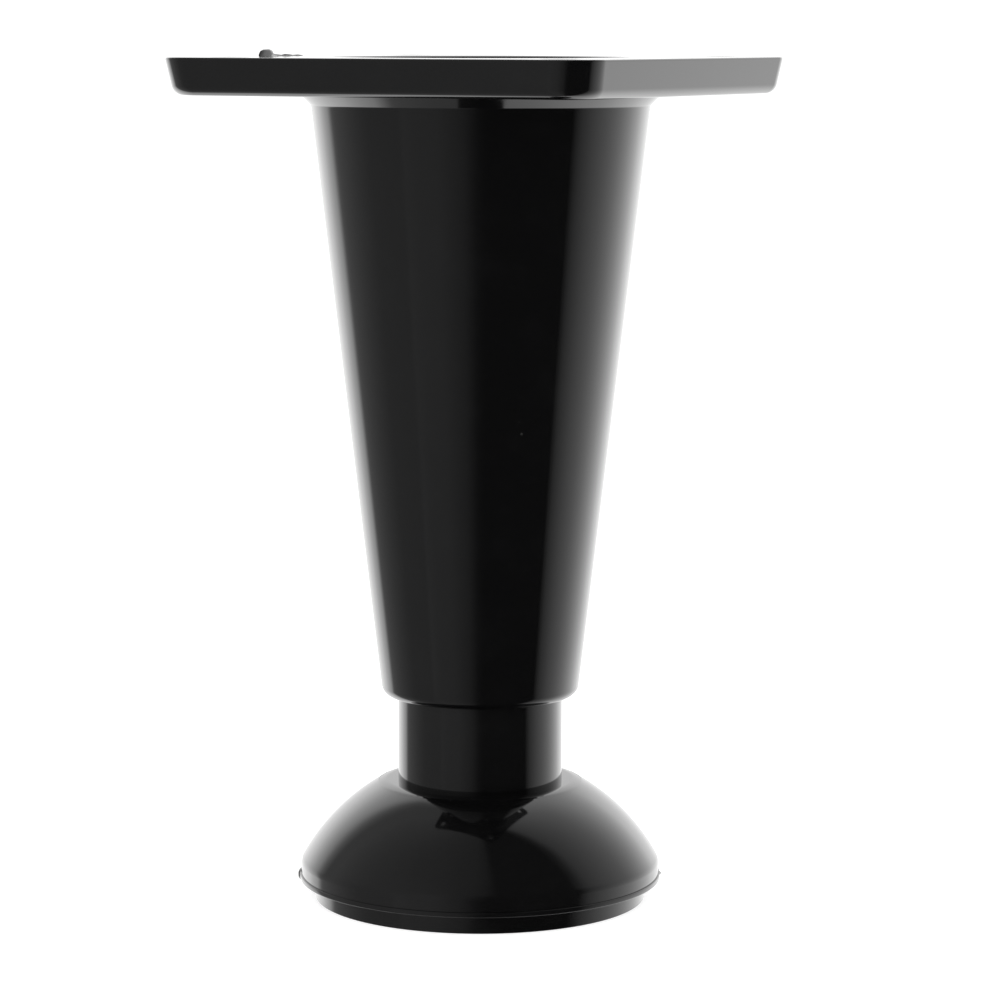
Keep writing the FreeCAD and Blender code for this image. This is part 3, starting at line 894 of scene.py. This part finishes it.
def black_plastic(name, black, dusty, roughness, handling, waves, grain, dust):
    """Gloss black moulding plastic, with its own share of waves, grain, handling and dust."""
    material = bpy.data.materials.new(name)
    material.use_nodes = True
    tree = material.node_tree
    tree.nodes.clear()
    output = add_node(tree, "ShaderNodeOutputMaterial", (900, 0))
    shader = add_node(tree, "ShaderNodeBsdfPrincipled", (600, 0))
    shader.inputs["IOR"].default_value = PLASTIC_IOR
    effects = add_node(tree, "ShaderNodeGroup", (-300, 0), node_tree=skin)
    place = add_node(tree, "ShaderNodeTexCoord", (-600, 0))
    tree.links.new(place.outputs["Object"], effects.inputs["Place"])
    for label, amount in (
        ("Gloss Roughness", roughness),
        ("Handling", handling),
        ("Waves", waves),
        ("Grain", grain),
        ("Dust", dust),
    ):
        effects.inputs[label].default_value = amount
    tint = add_node(tree, "ShaderNodeMix", (0, 200), data_type="RGBA")
    tint.inputs["A"].default_value = (*black, 1)
    tint.inputs["B"].default_value = (*dusty, 1)
    dusted = add_node(tree, "ShaderNodeMix", (250, 200), data_type="RGBA")
    dusted.inputs["B"].default_value = DUST_GREY
    bump = add_node(tree, "ShaderNodeBump", (250, -300))
    bump.inputs["Strength"].default_value = 1
    bump.inputs["Distance"].default_value = WAVE_HEIGHT * MM
    tree.links.new(effects.outputs["Tint"], tint.inputs["Factor"])
    tree.links.new(effects.outputs["Dust"], dusted.inputs["Factor"])
    tree.links.new(tint.outputs["Result"], dusted.inputs["A"])
    tree.links.new(dusted.outputs["Result"], shader.inputs["Base Color"])
    tree.links.new(effects.outputs["Roughness"], shader.inputs["Roughness"])
    tree.links.new(effects.outputs["Height"], bump.inputs["Height"])
    tree.links.new(bump.outputs["Normal"], shader.inputs["Normal"])
    tree.links.new(shader.outputs["BSDF"], output.inputs["Surface"])
    return material


leg_black = black_plastic(
    "leg gloss black",
    black=(0.0018, 0.0018, 0.0019),
    dusty=(0.0026, 0.0026, 0.0027),
    roughness=0.05,
    handling=0.04,
    waves=1,
    grain=0.004,
    dust=0.3,
)
foot_black = black_plastic(
    "foot gloss black",
    black=(0.0023, 0.0023, 0.0024),
    dusty=(0.0034, 0.0034, 0.0035),
    roughness=0.06,
    handling=0.05,
    waves=1,
    grain=0.004,
    dust=0.6,
)
glide_black = black_plastic(
    "glide satin black",
    black=(0.0022, 0.0022, 0.0023),
    dusty=(0.0042, 0.0042, 0.0043),
    roughness=0.12,
    handling=0.1,
    waves=1,
    grain=0.006,
    dust=1,
)

# %% [markdown]
# ## What rides on what
#
# Each mesh takes the imported solid's place and moves with that solid's body.

# %% Bodies and replaced solids
for piece, body, slot, material in (
    (leg, "leg", "leg_moulding", leg_black),
    (sleeve_thread, "leg", "leg_moulding", leg_black),
    (foot, "foot", "foot_moulding", foot_black),
    (spindle_thread, "foot", "foot_moulding", foot_black),
    (glide, "glide", "glide_moulding", glide_black),
):
    piece.data.materials.clear()
    piece.data.materials.append(material)
    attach(piece, body)
    print(piece.name, "rides on", body)

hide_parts("leg_body")
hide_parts("adjuster_foot")
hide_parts("base_glide")

# %% [markdown]
# ## Camera
#
# The photograph looks at one corner of the plate from just above its top face, and down on the
# foot. The camera stands nearly half a metre away at that height and is tipped down.

# %% Camera
CAMERA_TURN = 28.0
CAMERA_DISTANCE = 455
CAMERA_ABOVE_PLATE = 3.57
CAMERA_ASIDE = 2.47
CAMERA_PITCH = 7.39
CAMERA_ROLL = 0.1
FOCAL_PIXELS = 3640
FRAME_PIXELS = 1000

turn = math.radians(CAMERA_TURN)
towards_camera = Vector((math.sin(turn), -math.cos(turn), 0))
camera_right = Vector((math.cos(turn), math.sin(turn), 0))
camera_data = bpy.data.cameras.new("camera")
camera = bpy.data.objects.new("camera", camera_data)
bpy.context.scene.collection.objects.link(camera)
camera_data.sensor_width = 36
camera_data.lens = FOCAL_PIXELS / FRAME_PIXELS * camera_data.sensor_width
camera_data.clip_start = 0.01
place = towards_camera * CAMERA_DISTANCE + camera_right * CAMERA_ASIDE
place.z = PLATE_TOP + CAMERA_ABOVE_PLATE
camera.location = place * MM
aim = Euler((math.radians(90 - CAMERA_PITCH), 0, turn)).to_matrix()
aim = aim @ Matrix.Rotation(math.radians(CAMERA_ROLL), 3, "Z")
camera.rotation_euler = aim.to_euler()
bpy.context.scene.camera = camera
print(f"lens {camera_data.lens:.1f} mm, {CAMERA_DISTANCE} mm from the leg")

# %% [markdown]
# ## Floor and light
#
# Black gloss shows its surroundings and little else, so the light is drawn as surroundings. A
# white studio lies behind and to both sides, grey cards stand front left, and it is dark from the
# camera round to the front right. The world shader draws these by compass direction at three
# heights, in degrees up from level, and blends from one to the next. The cards lean together a
# little as they rise. The floor is plain and pale, and lit evenly.

# %% Floor
FLOOR_GLOW = 0.7


def pale_floor():
    """A wide plain floor that the glide stands on."""
    clear_selection()
    bpy.ops.mesh.primitive_plane_add(size=8, location=(0, 0, 0))
    floor = bpy.context.object
    floor.name = "floor"
    floor.visible_glossy = False
    material = bpy.data.materials.new("pale floor")
    material.use_nodes = True
    shader = material.node_tree.nodes["Principled BSDF"]
    shader.inputs["Base Color"].default_value = (0.93, 0.93, 0.93, 1)
    shader.inputs["Roughness"].default_value = 0.9
    shader.inputs["Specular IOR Level"].default_value = 0.1
    shader.inputs["Emission Color"].default_value = (1, 1, 1, 1)
    shader.inputs["Emission Strength"].default_value = FLOOR_GLOW
    floor.data.materials.append(material)


pale_floor()

# %% Surroundings by compass direction
LOW_CARDS = (
    (-180, 1.1),
    (-165, 1.6),
    (-155, 2.0),
    (-141, 2.4),
    (-128, 2.0),
    (-122, 0.6),
    (-112, 0.5),
    (-84, 0.32),
    (-58, 0.33),
    (-55, 0.39),
    (-46, 0.35),
    (-30, 0.33),
    (-12, 0.2),
    (-2, 0.05),
    (4, 0.025),
    (66, 0.025),
    (73, 0.4),
    (85, 0.82),
    (98, 1.2),
    (117, 1.9),
    (128, 2.2),
    (141, 2.3),
    (155, 2.0),
    (165, 1.6),
    (180, 1.1),
)
MIDDLE_CARDS = (
    (-180, 1.3),
    (-165, 1.7),
    (-155, 2.1),
    (-146, 2.2),
    (-137, 1.9),
    (-130, 1.5),
    (-124, 0.8),
    (-118, 0.38),
    (-109, 0.46),
    (-84, 0.36),
    (-30, 0.35),
    (-12, 0.22),
    (0, 0.08),
    (6, 0.03),
    (66, 0.03),
    (76, 0.4),
    (90, 0.75),
    (110, 1.1),
    (121, 1.5),
    (133, 1.95),
    (147, 2.4),
    (157, 2.0),
    (180, 1.3),
)
HIGH_CARDS = (
    (-180, 1.4),
    (-140, 1.8),
    (-133, 1.7),
    (-127, 0.6),
    (-122, 0.43),
    (-109, 0.46),
    (-83, 0.38),
    (-57, 0.3),
    (-24, 0.24),
    (-4, 0.21),
    (6, 0.15),
    (13, 0.05),
    (66, 0.04),
    (72, 0.14),
    (79, 0.5),
    (98, 0.82),
    (116, 1.2),
    (124, 1.5),
    (130, 1.75),
    (140, 1.9),
    (180, 1.4),
)
LOW_HEIGHT = -20
MIDDLE_HEIGHT = 20
HIGH_HEIGHT = 55
LEAN_STARTS = 0
LEAN_FULL = 55
FULL_LEAN = 0.915
PLAIN_WHITE = 1.15


def card_ramp(tree, place, compass, cards):
    """A colour ramp round the compass, and the strength that its brightest stop stands for."""
    ramp = add_node(tree, "ShaderNodeValToRGB", place)
    stops = ramp.color_ramp.elements
    while len(stops) < len(cards):
        stops.new(0.5)
    brightest = max(level for _, level in cards)
    for stop, (degrees, level) in zip(stops, cards):
        stop.position = (degrees + 180) / 360
        stop.color = (level / brightest,) * 3 + (1,)
    tree.links.new(compass, ramp.inputs["Fac"])
    beside = (place[0] + 300, place[1])
    return math_node(tree, "MULTIPLY", beside, ramp.outputs["Color"], brightest)


def blend(tree, place, share, first, second):
    """One value or another by a share, each a socket or a number."""
    node = add_node(tree, "ShaderNodeMix", place, data_type="FLOAT")
    tree.links.new(share, node.inputs["Factor"])
    for label, given in (("A", first), ("B", second)):
        if isinstance(given, bpy.types.NodeSocket):
            tree.links.new(given, node.inputs[label])
        else:
            node.inputs[label].default_value = given
    return node.outputs["Result"]


def surroundings():
    """A world that is white to the eye and shows the studio's cards in reflections."""
    world = bpy.data.worlds.new("studio")
    bpy.context.scene.world = world
    world.use_nodes = True
    tree = world.node_tree
    tree.nodes.clear()
    output = add_node(tree, "ShaderNodeOutputWorld", (1500, 0))
    coordinates = add_node(tree, "ShaderNodeTexCoord", (-1300, 0))
    direction = coordinates.outputs["Generated"]
    parts = []
    upwards = Vector((0, 0, 1))
    for axis, row in ((camera_right, 300), (towards_camera, 100), (upwards, -100)):
        part = add_node(tree, "ShaderNodeVectorMath", (-1100, row), operation="DOT_PRODUCT")
        part.inputs[1].default_value = axis
        tree.links.new(direction, part.inputs[0])
        parts.append(part.outputs["Value"])
    compass = math_node(tree, "ARCTAN2", (-900, 200), parts[0], parts[1])
    arc = math_node(tree, "ARCSINE", (-900, -100), parts[2], None)
    height = math_node(tree, "DEGREES", (-700, -100), arc, None)
    lean = map_range(tree, (-500, 0), height, LEAN_STARTS, LEAN_FULL, 1, FULL_LEAN)
    leaned = math_node(tree, "MULTIPLY", (-300, 200), compass, lean)
    share = map_range(tree, (-100, 200), leaned, -math.pi, math.pi)
    low = card_ramp(tree, (100, 500), share, LOW_CARDS)
    middle = card_ramp(tree, (100, 200), share, MIDDLE_CARDS)
    high = card_ramp(tree, (100, -100), share, HIGH_CARDS)
    to_middle = map_range(tree, (450, -300), height, LOW_HEIGHT, MIDDLE_HEIGHT)
    to_high = map_range(tree, (650, -300), height, MIDDLE_HEIGHT, HIGH_HEIGHT)
    lower_half = blend(tree, (700, 300), to_middle, low, middle)
    cards = blend(tree, (900, 200), to_high, lower_half, high)
    mirrored = add_node(tree, "ShaderNodeBackground", (1150, -100))
    tree.links.new(cards, mirrored.inputs["Strength"])
    mirrored.inputs["Color"].default_value = (1, 1, 1, 1)
    plain = add_node(tree, "ShaderNodeBackground", (1150, 100))
    plain.inputs["Color"].default_value = (1, 1, 1, 1)
    plain.inputs["Strength"].default_value = PLAIN_WHITE
    ray = add_node(tree, "ShaderNodeLightPath", (1150, 500))
    choose = add_node(tree, "ShaderNodeMixShader", (1350, 0))
    tree.links.new(ray.outputs["Is Glossy Ray"], choose.inputs[0])
    tree.links.new(plain.outputs[0], choose.inputs[1])
    tree.links.new(mirrored.outputs[0], choose.inputs[2])
    tree.links.new(choose.outputs[0], output.inputs["Surface"])


surroundings()
bpy.context.scene.view_settings.view_transform = "Standard"
print("studio drawn at", LOW_HEIGHT, MIDDLE_HEIGHT, HIGH_HEIGHT, "degrees up")
